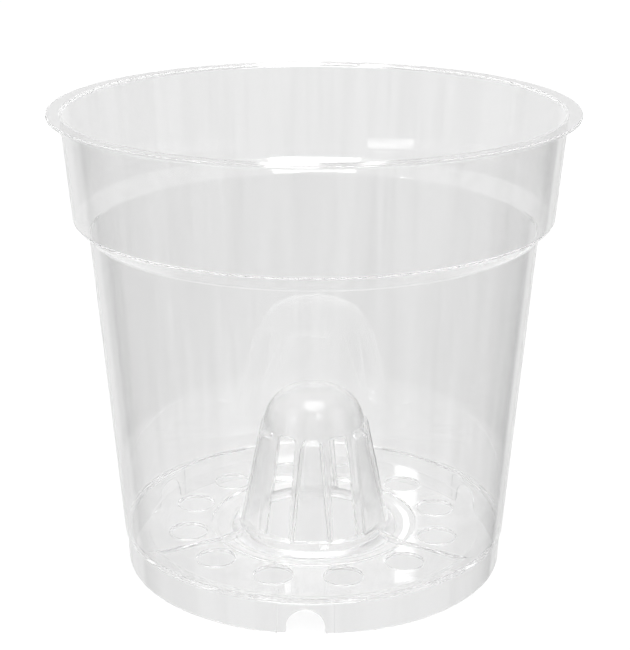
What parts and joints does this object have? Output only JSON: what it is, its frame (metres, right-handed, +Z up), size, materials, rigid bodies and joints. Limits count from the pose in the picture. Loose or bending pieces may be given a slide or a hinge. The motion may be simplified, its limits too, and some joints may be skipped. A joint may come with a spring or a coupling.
{
  "type": "orchid pot",
  "caption": "Clear round orchid pot with a flared collar and flat lip, a perforated floor, an arched foot and a slotted aeration cone.",
  "frame": {"origin": "on the pot's axis at the level of its foot", "axes": "+Z up along the pot's axis; one arch of the foot faces -Y, +X to its right seen from the front"},
  "size_m": [0.15, 0.15, 0.1365],
  "materials": {
    "clear_plastic": "clear, glossy"
  },
  "bodies": {
    "root": {"rim_lip": "clear_plastic", "collar": "clear_plastic", "stacking_shoulder": "clear_plastic", "side_wall": "clear_plastic", "pot_floor": "clear_plastic", "foot_skirt": "clear_plastic", "cone_base": "clear_plastic", "cone_dome": "clear_plastic", "cone_stave_1": "clear_plastic", "cone_stave_2": "clear_plastic", "cone_stave_3": "clear_plastic", "cone_stave_4": "clear_plastic", "cone_stave_5": "clear_plastic", "cone_stave_6": "clear_plastic", "floor_rib_1": "clear_plastic", "floor_rib_2": "clear_plastic", "floor_rib_3": "clear_plastic"}
  },
  "joints": []
}
